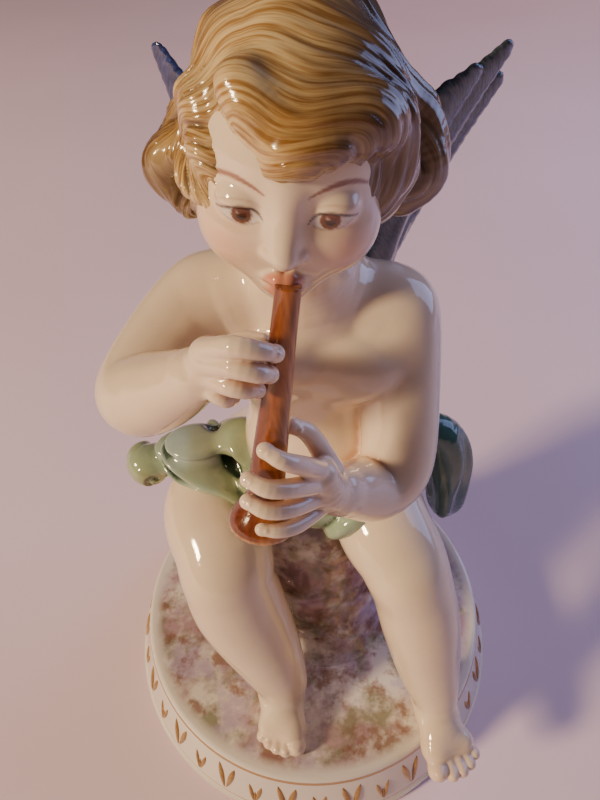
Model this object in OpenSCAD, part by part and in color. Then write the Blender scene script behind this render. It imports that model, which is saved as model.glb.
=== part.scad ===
// Seated winged child playing a pipe: a slip-cast porcelain figurine on a round plinth.
// The castings meet face to face, as they do when they are luted together with slip.
// Units are millimetres. +Z is up, the figure faces -Y, and its right hand is on the -X side.
// The origin is the centre of the plinth's underside.

/* [Plinth] */
// Height of the plinth, from its underside to its top face
plinth_h = 16.5; // [14:0.5:22]
// Radius of the top edge
plinth_top_r = 40; // [38:0.5:41]
// Radius of the foot
plinth_foot_r = 44; // [43:0.5:48]
// Wall of the hollow castings
wall = 3; // [2:0.5:4]
// Radius of the firing vent in the plinth's floor
vent_r = 2; // [1:0.5:3]
// Number of relief leaf pairs round the wall
leaf_pairs = 38; // [24:2:40]
// Height of a leaf pair
leaf_h = 8.5; // [6:0.5:9.5]

/* [Rock seat] */
// Height of the rock above the plinth
rock_h = 34; // [33:0.5:35]
// Radius of the rock where it meets the plinth
rock_foot_r = 19; // [17:0.5:21]

/* [Pipe] */
// Radius of the pipe at the lips
pipe_lip_r = 1.3; // [1.2:0.1:1.5]
// Radius of the pipe above its bell
pipe_end_r = 2.2; // [2:0.1:2.4]
// Radius of the bell's mouth
bell_r = 4; // [3.5:0.1:4.2]
// Radius of the pipe's bore
pipe_bore_r = 0.8; // [0.5:0.1:0.9]

/* [Wings] */
// Radius of the peg that keys a wing into the back
wing_peg_r = 1.8; // [1.4:0.1:2.2]
// Slip clearance round each peg
peg_gap = 0.1; // [0.05:0.05:0.2]
// Half thickness of a feather
feather_r = 0.9; // [0.8:0.1:1.2]

/* [Quality] */
// Facets round a limb
limb_facets = 16; // [14:2:20]
// Facets round a finger or toe
digit_facets = 10; // [8:2:12]
// Facets round the rock
rock_facets = 14; // [12:2:18]

/* [Hidden] */

bisque = "antiquewhite";
flax = "burlywood";
gilt = "goldenrod";
slate = "slategray";
cloth = "mediumaquamarine";
russet = "sienna";

// Plinth profile: radii and heights of its mouldings.
foot_round = 0.6;
foot_ring_h = 2;
foot_step = 0.5;
edge_round = 1.2;
wall_foot_z = foot_ring_h + foot_step;
wall_foot_r = plinth_foot_r - foot_step;
wall_top_z = plinth_h - edge_round;
wall_top_r = plinth_top_r;
leaf_relief = 0.6;
leaf_w = 1.7;
leaf_foot_z = 4.4;
leaf_lean = 7;

// The rock's blocks, each [x, y, height of its foot, radius], and the step on which they all lean.
rock_stones = [[1, 3, 0, rock_foot_r], [0, 7, rock_h - 8, 15]];
rock_crown = [0, 8, rock_h - 3, 14];
stone_h = 3;
rock_hollow_top_r = 6;

// Joints of the body, each [x, y, z, radius] above the plinth's top face.
pelvis = [0, 9, 45, 13.2];
belly = [1, 4.5, 57, 13.2];
ribs = [1.5, 4, 67, 13.4];
chest = [1, 4.5, 79, 12];
right_shoulder = [-13.5, 4, 87.5, 6.4];
left_shoulder = [11.8, 3.5, 85, 6.3];
neck_foot = [-0.7, 3, 91, 7];
neck_root = [-0.6, 2.6, 92, 6.3];
neck_top = [-1.2, -1, 101.5, 6.2];
skull = [-1.2, -2.6, 116.1, 12.3];
cheeks = [-1.6, -7.1, 109.7, 10.2];
chin = [-2, -11.1, 103.9, 4.4];

right_arm_path = [
    [-15.5, 4, 88, 6.4], [-20.6, -3, 85.2, 6.1], [-23.4, -10.5, 84.2, 5.4],
    [-19.3, -14, 87.7, 4.8], [-14.6, -17.3, 92.8, 3.5], [-13, -18.6, 94.8, 2.9]
];
left_arm_path = [
    [13, 3, 85, 6.3], [13.8, -3, 74.2, 6.2], [13.5, -8.5, 64.3, 6],
    [9.9, -12, 62.8, 5.3], [5.6, -15.8, 67.6, 4.2], [3.6, -18, 70.4, 3.4]
];
right_palm = [[-12.8, -18.4, 94.6, 2.9], [-11.9, -19, 95.6, 2.9], [-11.3, -19.5, 98, 2.4]];
left_palm = [[3.4, -18.2, 70.6, 3.3], [1.6, -19.8, 73.2, 3.2], [0.8, -20.3, 77.6, 2.6]];
right_fingers = [
    [[-11.1, -20.1, 99.6, 1.5], [-7.6, -22.4, 101.8, 1.3], [-4.4, -21.2, 100, 1]],
    [[-11.4, -20.5, 98, 1.5], [-7.8, -23, 99.5, 1.3], [-5, -21.8, 97.7, 1]],
    [[-11.6, -20.5, 96.2, 1.4], [-8.7, -22.8, 96.8, 1.2], [-6.5, -21.4, 95.2, 1]],
    [[-12.1, -19.9, 94.6, 1.3], [-10.7, -21.5, 94.4, 1.1], [-9.4, -20.5, 92.9, 0.9]],
    [[-12, -18, 95.4, 1.6], [-8.6, -16.1, 96.8, 1.3], [-5.5, -16.4, 97.2, 1.1]]
];
left_fingers = [
    [[0.6, -20.6, 79, 1.6], [-2.6, -24, 84.8, 1.4], [-5.8, -23.7, 86.6, 1]],
    [[0.4, -21.2, 77, 1.6], [-4.2, -25.3, 81.6, 1.4], [-7.7, -24.3, 82.4, 1]],
    [[0.4, -21.4, 74.2, 1.5], [-4.5, -25.7, 77.8, 1.3], [-8.3, -25.2, 78.6, 1]],
    [[0.8, -21.2, 71.6, 1.4], [-2.6, -26, 74, 1.2], [-5.7, -27.4, 75.2, 1]],
    [[2.4, -18, 75.6, 1.8], [0, -17.2, 80.8, 1.5], [-3.4, -18.2, 84, 1.2]]
];

right_leg_path = [
    [-12, 10, 42.5, 9.6], [-19.6, 0, 41, 9], [-17.2, -8.6, 38.3, 9.2],
    [-15.8, -12, 33.5, 9.1], [-14.6, -14.2, 26.5, 8.8], [-10.6, -18.6, 16.5, 7.3],
    [-7.4, -22.2, 8.8, 5.6]
];
left_leg_path = [
    [11, 9, 42.5, 9.4], [13.6, -5, 41.3, 8.8], [16.6, -11, 38.4, 8.2],
    [18.6, -14.5, 33.5, 7.9], [20.6, -17.9, 25.5, 7.5], [22.9, -22, 15.5, 6.4],
    [24.6, -26, 8.6, 4.8]
];
// Each foot: heel, ankle, instep, then the ball's inner and outer side.
right_foot_path = [
    [-7.5, -21, 4.6, 4.6], [-7.4, -24, 5.4, 4.8], [-7.4, -27, 3.8, 4.2],
    [-5.2, -30.4, 2.4, 2.5], [-9.8, -30, 2.2, 2.3]
];
left_foot_path = [
    [24.6, -24.8, 4.4, 4.4], [24.8, -28, 5, 4.5], [25.8, -31.4, 3.6, 4],
    [24.2, -35.4, 2.4, 2.5], [29.8, -34, 2.2, 2.2]
];
right_toes = [
    [[-4.9, -30.6, 2.1, 2.1], [-4.5, -33.6, 1.7, 1.8]],
    [[-6.9, -31, 1.8, 1.6], [-6.7, -34.2, 1.3, 1.3]],
    [[-8.4, -30.8, 1.7, 1.5], [-8.5, -33.7, 1.2, 1.2]],
    [[-9.7, -30.2, 1.6, 1.4], [-10.1, -32.8, 1.1, 1.1]],
    [[-10.7, -29.4, 1.5, 1.3], [-11.6, -31.5, 1.1, 1.1]]
];
left_toes = [
    [[24, -35.2, 2.1, 2.1], [24, -38.9, 1.6, 1.8]],
    [[26.1, -36, 1.9, 1.6], [26.8, -39.4, 1.3, 1.3]],
    [[27.8, -35.7, 1.8, 1.5], [28.9, -38.8, 1.2, 1.2]],
    [[29.3, -34.9, 1.6, 1.4], [30.7, -37.6, 1.1, 1.1]],
    [[30.2, -33.6, 1.5, 1.3], [32, -35.9, 1.1, 1.1]]
];

// Hair: the cap over the skull, and the ends of the bob rolled outwards.
hair_cap_centre = [-1.2, -1.8, 117.2, 13.6];
hair_low_centre = [-1.3, 2.4, 110, 12];
right_curl_path = [[-11.8, 1.4, 116.6, 4.4], [-13.6, 0.2, 111.4, 5], [-13.6, -0.8, 107.6, 4]];
left_curl_path = [[10.6, 1, 115.4, 4.6], [12.2, -0.2, 110.2, 5.2], [11.8, -1.2, 106.4, 4]];
nape_curl_path = [
    [-12, 4.2, 108.8, 4.4], [-7.5, 8, 107.4, 4.8], [-1.4, 9.6, 106.8, 5],
    [5.2, 8.4, 106.6, 4.8], [10, 4.4, 107.6, 4.4]
];

// Wings: each feather runs from its root through a bend to its tip.
right_wing_root = [-5.5, 15.5, 79];
left_wing_root = [8.5, 14.5, 78];
right_feathers = [
    [[-6.5, 16.5, 83], [-13.5, 22, 102], [-19.6, 24.6, 115.8]],
    [[-7, 17.6, 81], [-13.6, 24.6, 98], [-19.2, 28, 111.5]],
    [[-7, 18.2, 79], [-13, 26.4, 93], [-17.6, 30.6, 104.5]],
    [[-6.6, 18.4, 77], [-11.6, 27, 87.5], [-15.2, 31.4, 96.5]],
    [[-6, 18.2, 75.5], [-9.8, 25.6, 81.5], [-12.4, 30, 87.5]]
];
left_feathers = [
    [[9, 14.5, 85], [16.4, 17, 105], [24, 19, 115.2]],
    [[9.5, 15.2, 83], [18.6, 19, 104], [27.6, 21, 115.6]],
    [[10, 16, 81], [19.4, 21, 100.5], [28, 23.2, 111.2]],
    [[10, 16.8, 78.5], [17.6, 22.6, 95.5], [25, 25.6, 104.6]],
    [[9.4, 17.2, 76.5], [15.4, 23, 90], [22, 27, 99]]
];
wing_peg_tilt = [62, 0, 0];
wing_peg_l = 6;
// Half of a feather's breadth, as a step across its blade.
blade_step = [0.7, 1.5, -0.8];
// Radius of the wing's shoulder at its root and at its top, and the height that it reaches.
wing_shoulder = [4, 3, 85];

// Drapery: a band over the lap, its rolled end at the right hip and its tail at the left.
lap_band = [
    [[-21, 10, 52, 3], [-26, 8, 45, 3.4]],
    [[-17.5, 2, 55, 3], [-27.2, 3, 45.5, 3]],
    [[-11, -4.6, 53.5, 2.6], [-20, -1.6, 49.5, 2.6]],
    [[-5, -7.6, 48, 2.7], [-11, -5, 44, 2.6]],
    [[2, -7.4, 45, 2.8], [-2, -5, 37.5, 2.6]],
    [[9, -6.6, 49.2, 2.4], [7.6, -7.2, 44, 2.4]],
    [[16, 0, 50, 2.6], [18, -2.4, 46, 2.6]],
    [[20, 9, 51, 3], [22.6, 5, 44, 3.2]]
];
roll_path = [[-26.5, 6, 50, 4], [-30.6, 5, 48.8, 4.2], [-32, 4, 46.2, 3.7]];
tail_path = [
    [22, 8.5, 53, 3.2], [26.2, 8.4, 50, 3.6], [28.6, 8.6, 43, 3.9],
    [29.6, 8.8, 35, 3.9], [30.4, 8.6, 27, 3.4], [30.4, 8.4, 23.6, 2.4]
];

// Pipe: its axis runs from the lips to the bell.
pipe_lips = [-2.4, -16.7, 105.3];
pipe_bell = [-7.1, -24, 72.4];
pipe_axis = pipe_bell - pipe_lips;
pipe_l = norm(pipe_axis);
bell_l = 5;

// Raises the figure on to the plinth's top face.
module on_plinth() {
    translate([0, 0, plinth_h]) children();
}

// Joins a casting's blends into one skin; zeros keep its size.
module one_skin() {
    resize([0, 0, 0]) children();
}

module ball(joint, facets = limb_facets) {
    translate([joint[0], joint[1], joint[2]]) sphere(r = joint[3], $fn = facets);
}

// A tapering limb through a list of joints.
module limb(path, facets = limb_facets) {
    for (i = [0 : len(path) - 2]) hull() {
        ball(path[i], facets);
        ball(path[i + 1], facets);
    }
}

// The same joints with every radius changed by grow.
function grown(path, grow) = [for (j = path) [j[0], j[1], j[2], j[3] + grow]];

// Lays its children's +Z along the pipe, from the lips.
module along_pipe() {
    tilt = acos(pipe_axis[2] / pipe_l);
    turn = atan2(pipe_axis[1], pipe_axis[0]);
    translate(pipe_lips) rotate([0, tilt, turn]) children();
}

module plinth() {
    color(bisque) difference() {
        rotate_extrude($fn = 96) polygon(concat(
            [[0, 0], [plinth_foot_r - foot_round, 0], [plinth_foot_r, foot_round],
             [plinth_foot_r, foot_ring_h], [wall_foot_r, wall_foot_z]],
            [for (a = [0 : 15 : 90])
                [wall_top_r - edge_round * (1 - cos(a)), wall_top_z + edge_round * sin(a)]],
            [[0, plinth_h]]
        ));
        translate([0, 0, wall])
            cylinder(r1 = wall_foot_r - wall, r2 = wall_top_r - wall, h = plinth_h - 2 * wall, $fn = 96);
        translate([0, 0, -1]) cylinder(r = vent_r, h = wall + 2, $fn = 24);
    }
}

// The plinth's sloping wall as a solid, raised by rise.
module wall_cone(rise) {
    translate([0, 0, wall_foot_z])
        cylinder(r1 = wall_foot_r + rise, r2 = wall_top_r + rise, h = wall_top_z - wall_foot_z, $fn = 96);
}

// One leaf of a pair, an upright lancet leaning by lean degrees.
module leaf(lean) {
    rotate([90, 0, 90]) rotate([0, 0, lean]) linear_extrude(height = plinth_foot_r + 4)
        polygon([[0, 0], [leaf_w / 2, leaf_h * 0.55], [leaf_w * 0.35, leaf_h * 0.85],
                 [0, leaf_h], [-leaf_w / 2, leaf_h * 0.55]]);
}

module border_leaves() {
    color(gilt) for (i = [0 : leaf_pairs - 1], lean = [-leaf_lean, leaf_lean])
        rotate([0, 0, 360 * i / leaf_pairs - 90]) intersection() {
            difference() {
                wall_cone(leaf_relief);
                wall_cone(0);
            }
            translate([0, -sign(lean) * leaf_w * 0.4, leaf_foot_z]) leaf(lean);
        }
}

module stone(block) {
    translate([block[0], block[1], block[2]]) cylinder(r = block[3], h = stone_h, $fn = rock_facets);
}

module rock_blocks() {
    for (block = rock_stones) hull() {
        stone(block);
        stone(rock_crown);
    }
}

module rock_seat() {
    color(russet) on_plinth() one_skin() difference() {
        rock_blocks();
        translate([1, 5, -1])
            cylinder(r1 = rock_foot_r - 2 * wall, r2 = rock_hollow_top_r, h = rock_h - 3 * wall, $fn = rock_facets);
        torso_form();
        legs_form();
    }
}

module torso_form(grow = 0) {
    limb(grown([pelvis, belly, ribs, chest], grow));
    limb(grown([chest, right_shoulder, neck_foot, left_shoulder, chest], grow));
}

module legs_form() {
    limb(right_leg_path);
    limb(left_leg_path);
}

module peg(root, grow = 0) {
    translate(root) rotate(wing_peg_tilt)
        cylinder(r = wing_peg_r + grow, h = wing_peg_l + grow, center = true, $fn = 16);
}

module torso() {
    color(bisque) on_plinth() one_skin() difference() {
        torso_form();
        limb(grown([pelvis, belly, ribs, chest], -wall));
        translate([0.4, 8.7, rock_h - 6]) cylinder(r = 6, h = 14, $fn = 18);
        legs_form();
        limb([neck_root, neck_top]);
        for (root = [right_wing_root, left_wing_root]) peg(root, peg_gap);
    }
}

module head_form() {
    limb([neck_root, neck_top]);
    hull() { ball(skull); ball(cheeks); }
    hull() { ball(cheeks); ball(chin); }
    hull() { ball(neck_top); ball(cheeks); }
}

module head() {
    color(bisque) on_plinth() one_skin() difference() {
        head_form();
        limb(grown([skull, cheeks, neck_top, neck_root], -wall));
        translate([neck_root[0], neck_root[1], neck_root[2] - neck_root[3] - 1])
            cylinder(r = wall - 1, h = neck_root[3], $fn = 18);
    }
}

// The open front of the bob, in front of the ears and below the fringe.
module face_window() {
    hull() for (p = [[-9, -14, 112, 3.2], [6.4, -14.4, 111.4, 3.2], [-2, -18, 97, 9], [-2, -24, 110, 8]])
        ball(p);
    hull() { ball([-2, -15, 104.6, 9.5]); ball([-2, -8, 96, 8.5]); }
}

module hair_cap() {
    color(flax) on_plinth() one_skin() difference() {
        hull() {
            ball(hair_cap_centre, 22);
            ball(hair_low_centre, 22);
        }
        head_form();
        face_window();
        for (path = [right_curl_path, left_curl_path, nape_curl_path]) limb(path);
        torso_form();
    }
}

module curl(path) {
    color(flax) on_plinth() one_skin() difference() {
        limb(path);
        head_form();
        torso_form();
        children();
    }
}

module right_side_curl() {
    curl(right_curl_path);
}

module left_side_curl() {
    curl(left_curl_path);
}

module nape_curl() {
    curl(nape_curl_path) {
        limb(right_curl_path);
        limb(left_curl_path);
    }
}

module right_arm() {
    color(bisque) on_plinth() one_skin() difference() {
        limb(right_arm_path);
        torso_form();
    }
}

module left_arm() {
    color(bisque) on_plinth() one_skin() difference() {
        limb(left_arm_path);
        torso_form();
    }
}

// A palm with its fingers, trimmed to the forearm and to the pipe that it holds.
module hand(palm, fingers, forearm) {
    color(bisque) on_plinth() one_skin() difference() {
        union() {
            limb(palm, digit_facets);
            for (finger = fingers) limb(finger, digit_facets);
        }
        limb(forearm);
        pipe_form();
    }
}

module right_hand() {
    hand(right_palm, right_fingers, right_arm_path);
}

module left_hand() {
    hand(left_palm, left_fingers, left_arm_path);
}

module leg(path, foot) {
    color(bisque) on_plinth() one_skin() difference() {
        limb(path);
        limb(foot);
    }
}

module right_leg() {
    leg(right_leg_path, right_foot_path);
}

module left_leg() {
    leg(left_leg_path, left_foot_path);
}

// A foot stands flat on the plinth's top face.
module foot(path, toes) {
    color(bisque) on_plinth() one_skin() intersection() {
        union() {
            hull() { ball(path[0]); ball(path[1]); ball(path[2]); }
            hull() { ball(path[2]); ball(path[3]); ball(path[4]); }
            for (toe = toes) limb(toe, digit_facets);
        }
        translate([0, 0, 10]) cube([200, 200, 20], center = true);
    }
}

module right_foot() {
    foot(right_foot_path, right_toes);
}

module left_foot() {
    foot(left_foot_path, left_toes);
}

module feather(path) {
    for (i = [0 : 1]) hull() for (k = [i, i + 1])
        for (side = [-1, 1])
            ball(concat(path[k] + side * blade_step, feather_r * (1.35 - 0.3 * k)), digit_facets);
}

module wing(root, feathers) {
    color(slate) on_plinth() one_skin() {
        difference() {
            union() {
                for (path = feathers) feather(path);
                limb([[root[0], root[1], root[2] + 1, wing_shoulder[0]],
                      [feathers[0][0][0], feathers[0][0][1] + 1, wing_shoulder[2], wing_shoulder[1]]]);
            }
            torso_form();
        }
        peg(root);
    }
}

module right_wing() {
    wing(right_wing_root, right_feathers);
}

module left_wing() {
    wing(left_wing_root, left_feathers);
}

module lap_drape() {
    color(cloth) on_plinth() one_skin() difference() {
        for (i = [0 : len(lap_band) - 2]) hull() for (row = [lap_band[i], lap_band[i + 1]])
            for (p = row) ball(p, 12);
        torso_form();
        legs_form();
        limb(left_arm_path);
        rock_blocks();
        limb(roll_path);
        limb(tail_path);
    }
}

module drape_roll() {
    color(cloth) on_plinth() one_skin() difference() {
        limb(roll_path);
        torso_form();
        legs_form();
    }
}

module drape_tail() {
    color(cloth) on_plinth() one_skin() difference() {
        limb(tail_path);
        torso_form();
        legs_form();
        rock_blocks();
    }
}

// The pipe's outer shape, which trims the fingers that close on it.
module pipe_form() {
    along_pipe() {
        cylinder(r1 = pipe_lip_r, r2 = pipe_end_r, h = pipe_l, $fn = 24);
        translate([0, 0, pipe_l - bell_l]) cylinder(r1 = pipe_end_r, r2 = bell_r, h = bell_l, $fn = 24);
    }
}

module pipe() {
    color(russet) on_plinth() along_pipe() rotate_extrude($fn = 48) polygon([
        [pipe_bore_r, 0], [pipe_lip_r, 0], [pipe_end_r, pipe_l - bell_l],
        [pipe_end_r + 0.6, pipe_l - bell_l * 0.45], [bell_r, pipe_l - 0.8],
        [bell_r, pipe_l], [bell_r - 0.9, pipe_l], [pipe_bore_r, pipe_l - bell_l]
    ]);
}

plinth();
border_leaves();
rock_seat();
torso();
head();
hair_cap();
right_side_curl();
left_side_curl();
nape_curl();
right_arm();
right_hand();
left_arm();
left_hand();
right_leg();
right_foot();
left_leg();
left_foot();
right_wing();
left_wing();
lap_drape();
drape_roll();
drape_tail();
pipe();
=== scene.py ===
"""A seated winged child playing a pipe, in painted and glazed porcelain.

Every casting is sculpted as a signed distance field, in millimetres above the plinth's top face, and meshed
on a fine lattice. The joints of the body are the CAD model's own.
"""
import math

import bpy
import numpy as np
from mathutils import Matrix, Vector


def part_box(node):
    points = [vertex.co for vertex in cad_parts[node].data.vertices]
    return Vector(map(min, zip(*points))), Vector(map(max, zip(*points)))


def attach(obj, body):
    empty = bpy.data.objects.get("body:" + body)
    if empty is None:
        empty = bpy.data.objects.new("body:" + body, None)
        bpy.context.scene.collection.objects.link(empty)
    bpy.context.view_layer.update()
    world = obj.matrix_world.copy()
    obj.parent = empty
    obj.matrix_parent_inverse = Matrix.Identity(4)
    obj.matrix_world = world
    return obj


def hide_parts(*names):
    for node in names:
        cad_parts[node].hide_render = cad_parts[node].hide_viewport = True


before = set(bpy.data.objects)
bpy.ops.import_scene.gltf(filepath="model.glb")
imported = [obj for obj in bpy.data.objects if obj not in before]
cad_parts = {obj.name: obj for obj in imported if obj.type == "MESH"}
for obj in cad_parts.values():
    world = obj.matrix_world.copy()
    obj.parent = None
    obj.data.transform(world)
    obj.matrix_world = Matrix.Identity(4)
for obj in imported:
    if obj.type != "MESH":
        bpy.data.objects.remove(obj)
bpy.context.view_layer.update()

MM = 0.001
PLINTH_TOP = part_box("plinth")[1].z / MM
COARSER = 1.0


# ---- fields

def blend(a, b, k):
    """The union of two fields, with a fillet of about k."""
    h = np.clip(0.5 + 0.5 * (b - a) / k, 0, 1)
    return b + (a - b) * h - k * h * (1 - h)


def carve(a, b, k):
    """Field a with field b cut away, its edges rounded by k."""
    return -blend(-a, b, k)


def ball(p, x, y, z, r):
    return np.sqrt((p[0] - x) ** 2 + (p[1] - y) ** 2 + (p[2] - z) ** 2) - r


def egg(p, centre, radii):
    """An ellipsoid."""
    q = [(p[i] - centre[i]) / radii[i] for i in range(3)]
    k0 = np.sqrt(q[0] ** 2 + q[1] ** 2 + q[2] ** 2)
    k1 = np.sqrt((q[0] / radii[0]) ** 2 + (q[1] / radii[1]) ** 2 + (q[2] / radii[2]) ** 2)
    return k0 * (k0 - 1) / np.maximum(k1, 1e-6)


def cone(p, a, b):
    """A round cone between two [x, y, z, radius] joints."""
    step = [b[i] - a[i] for i in range(3)]
    off = [p[i] - a[i] for i in range(3)]
    length2 = max(step[0] ** 2 + step[1] ** 2 + step[2] ** 2, 1e-9)
    h = np.clip((off[0] * step[0] + off[1] * step[1] + off[2] * step[2]) / length2, 0, 1)
    gap = np.sqrt(sum((off[i] - h * step[i]) ** 2 for i in range(3)))
    return gap - (a[3] + h * (b[3] - a[3]))


def spline(joints, per_span=5):
    """A smooth curve through [x, y, z, radius] joints."""
    j = np.array(joints, float)
    ends = np.vstack([2 * j[0] - j[1], j, 2 * j[-1] - j[-2]])
    curve = []
    for i in range(len(j) - 1):
        a, b, c, d = ends[i:i + 4]
        bend = 2 * a - 5 * b + 4 * c - d
        twist = 3 * b - a - 3 * c + d
        for t in np.arange(per_span) / per_span:
            curve.append(b + 0.5 * t * (c - a + t * (bend + t * twist)))
    curve.append(j[-1])
    return np.array(curve)


def tube(p, joints, per_span=5):
    """A limb swept along the curve through the joints."""
    path = spline(joints, per_span) if per_span > 1 else np.array(joints, float)
    near = None
    for a, b in zip(path[:-1], path[1:]):
        d = cone(p, a, b)
        near = d if near is None else np.minimum(near, d)
    return near


def smooth(low, high, x):
    t = np.clip((x - low) / (high - low), 0, 1)
    return t * t * (3 - 2 * t)


def noise(p, size, seed=0):
    """Smooth value noise in -1..1 with features of the given size in millimetres."""
    q = [p[i] / size + 19.7 * (seed + 1) * (i + 1) for i in range(3)]
    cell = [np.floor(v).astype(np.int64) for v in q]
    part = [smooth(0, 1, q[i] - cell[i]) for i in range(3)]
    total = 0
    for corner in range(8):
        bits = [(corner >> i) & 1 for i in range(3)]
        h = sum((cell[i] + bits[i]) * prime for i, prime in enumerate((73856093, 19349663, 83492791)))
        h = (h ^ (h >> 13)) * 1274126177
        value = ((h ^ (h >> 16)) & 0xffff) / 32767.5 - 1
        weight = 1
        for i in range(3):
            weight = weight * (part[i] if bits[i] else 1 - part[i])
        total = total + value * weight
    return total


# ---- meshing

BLOCK = 4
NEAR_BLOCK = 1.3
NEAR_SLACK = 0.4
BLOCKS_AT_ONCE = 12000
HOLLOW_DEPTH = 1.2


def lattice(field, low, high, cell):
    """Samples a field on a lattice, point by point only in the blocks that the surface can cross."""
    low = np.array(low, float)
    count = np.ceil((np.array(high, float) - low) / (cell * BLOCK)).astype(int)
    centres = np.indices(count).reshape(3, -1)
    coarse = field((low[:, None] + (centres + 0.5) * cell * BLOCK).astype(np.float32))
    values = np.where(coarse < 0, -1.0, 1.0).astype(np.float32).reshape(count)
    for axis in range(3):
        values = np.repeat(values, BLOCK, axis)
    values = np.pad(values, ((0, 1),) * 3, mode="edge")
    active = centres[:, np.abs(coarse) < cell * BLOCK * NEAR_BLOCK + NEAR_SLACK]
    inner = np.indices((BLOCK + 1,) * 3).reshape(3, -1)
    for part in np.array_split(active, max(1, active.shape[1] // BLOCKS_AT_ONCE), axis=1):
        spots = (part[:, :, None] * BLOCK + inner[:, None, :]).reshape(3, -1)
        values[tuple(spots)] = field((low[:, None] + spots * cell).astype(np.float32))
    return values, low


def surface_net(values, low, cell):
    """One quad for each lattice edge that the surface crosses, and one vertex for each crossed cell."""
    inside = values < 0
    cells = np.array(values.shape) - 1
    keys, spots = [], []
    for axis in range(3):
        upper = [slice(None)] * 3
        lower = [slice(None)] * 3
        upper[axis], lower[axis] = slice(1, None), slice(None, -1)
        edge = np.argwhere(inside[tuple(lower)] != inside[tuple(upper)])
        u, v = (axis + 1) % 3, (axis + 2) % 3
        whole = (edge[:, u] > 0) & (edge[:, v] > 0) & (edge[:, u] < cells[u]) & (edge[:, v] < cells[v])
        edge = edge[whole]
        far = edge.copy()
        far[:, axis] += 1
        start, end = values[tuple(edge.T)], values[tuple(far.T)]
        spot = edge.astype(float)
        spot[:, axis] += start / (start - end)
        ring = []
        for du, dv in ((0, 0), (-1, 0), (-1, -1), (0, -1)):
            corner = edge.copy()
            corner[:, u] += du
            corner[:, v] += dv
            ring.append(np.ravel_multi_index(corner.T, cells))
        ring = np.stack(ring, 1)
        ring[start >= 0] = ring[start >= 0][:, ::-1]
        keys.append(ring)
        spots.append(spot)
    keys, spots = np.vstack(keys), np.vstack(spots)
    used, quads = np.unique(keys, return_inverse=True)
    quads = quads.reshape(-1, 4)
    owner = quads.ravel()
    each = np.repeat(spots, 4, axis=0)
    total = np.bincount(owner, minlength=len(used))
    points = np.stack([np.bincount(owner, each[:, i], len(used)) / total for i in range(3)], 1)
    return points * cell + low, quads


def gradient(field, points, h=0.04):
    p = points.T.astype(np.float64)
    slope = []
    for axis in range(3):
        step = np.zeros((3, 1))
        step[axis] = h
        slope.append((field(p + step) - field(p - step)) / (2 * h))
    return np.stack(slope, 1)


def settle(field, points, cell):
    """Moves points on to the field's surface."""
    slope = gradient(field, points)
    off = field(points.T.astype(np.float64))
    move = -slope * (off / np.maximum((slope ** 2).sum(1), 0.05))[:, None]
    return points + np.clip(move, -cell, cell)


def relax(points, quads, share=0.5):
    """Moves each point towards the middle of its neighbours."""
    pairs = np.vstack([quads[:, [i, (i + 1) % 4]] for i in range(4)])
    total = np.bincount(pairs[:, 0], minlength=len(points)).astype(float)
    middle = np.stack([np.bincount(pairs[:, 0], points[pairs[:, 1], i], len(points)) for i in range(3)], 1)
    total = np.maximum(total, 1)
    return points + share * (middle / total[:, None] - points)


def mesh_object(name, points, faces, material, body="root"):
    mesh = bpy.data.meshes.new(name)
    mesh.from_pydata(points.tolist(), [], faces if isinstance(faces, list) else faces.tolist())
    mesh.validate()
    mesh.polygons.foreach_set("use_smooth", np.ones(len(mesh.polygons), bool))
    piece = bpy.data.objects.new(name, mesh)
    bpy.context.scene.collection.objects.link(piece)
    mesh.materials.append(material)
    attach(piece, body)
    return piece


def set_paint(piece, colours):
    layer = piece.data.attributes.new("paint", "FLOAT_COLOR", "POINT")
    rgba = np.ones((len(colours), 4), np.float32)
    rgba[:, :3] = colours
    layer.data.foreach_set("color", rgba.ravel())


def sculpt(name, field, low, high, cell, material, paint, replaces, slot):
    """Meshes a field, paints it and puts it in place of CAD nodes.

    The paint function takes the points and how hollow the surface is round each of them.
    """
    cell = cell * COARSER
    values, low = lattice(field, low, high, cell)
    points, quads = surface_net(values, low, cell)
    for _ in range(2):
        points = settle(field, relax(points, quads), cell)
    normals = gradient(field, points)
    normals /= np.maximum(np.linalg.norm(normals, axis=1), 1e-6)[:, None]
    placed = (points + [0, 0, PLINTH_TOP]) * MM
    piece = mesh_object(name, placed, quads, material)
    hollow = np.clip(1 - field((points + normals * HOLLOW_DEPTH).T) / HOLLOW_DEPTH, 0, 1)
    set_paint(piece, paint(points.T, hollow))
    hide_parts(*replaces)
    return piece


# ---- the body

RIGHT_ARM = [
    [-12, 4.5, 88.5, 6.2], [-15.5, 4, 88, 6.5], [-20.6, -3, 85.2, 6.3], [-23.2, -10.5, 84.2, 5.7],
    [-19.3, -14, 87.7, 5.1], [-14.6, -17.3, 92.8, 3.7], [-13, -18.6, 94.8, 3.0]
]
LEFT_ARM = [
    [10.5, 3.5, 85.5, 6.2], [13, 3, 85, 6.5], [13.8, -3, 74.2, 6.2], [13.5, -8.5, 64.6, 5.9],
    [9.9, -12, 62.8, 5.4], [5.6, -15.8, 67.6, 4.3], [3.6, -18, 70.4, 3.5]
]
RIGHT_LEG = [
    [-12, 10, 42.5, 9.6], [-19.6, 0, 41, 9.2], [-17, -8.8, 38.5, 9.2], [-16.2, -12.3, 33.5, 8.9],
    [-14.6, -14.4, 26.5, 9.0], [-10.3, -18.8, 16.5, 7.3], [-7.3, -22.2, 8.8, 5.5], [-7.3, -22.8, 6, 4.9]
]
LEFT_LEG = [
    [11, 9, 42.5, 9.4], [13.4, -5, 41.3, 9.0], [16.6, -11, 38.4, 8.3], [18.7, -14.5, 33.5, 7.8],
    [20.7, -17.9, 25.5, 7.7], [22.8, -22, 15.5, 6.5], [24.6, -26, 8.6, 4.8], [24.8, -26.6, 6, 4.4]
]
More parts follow.
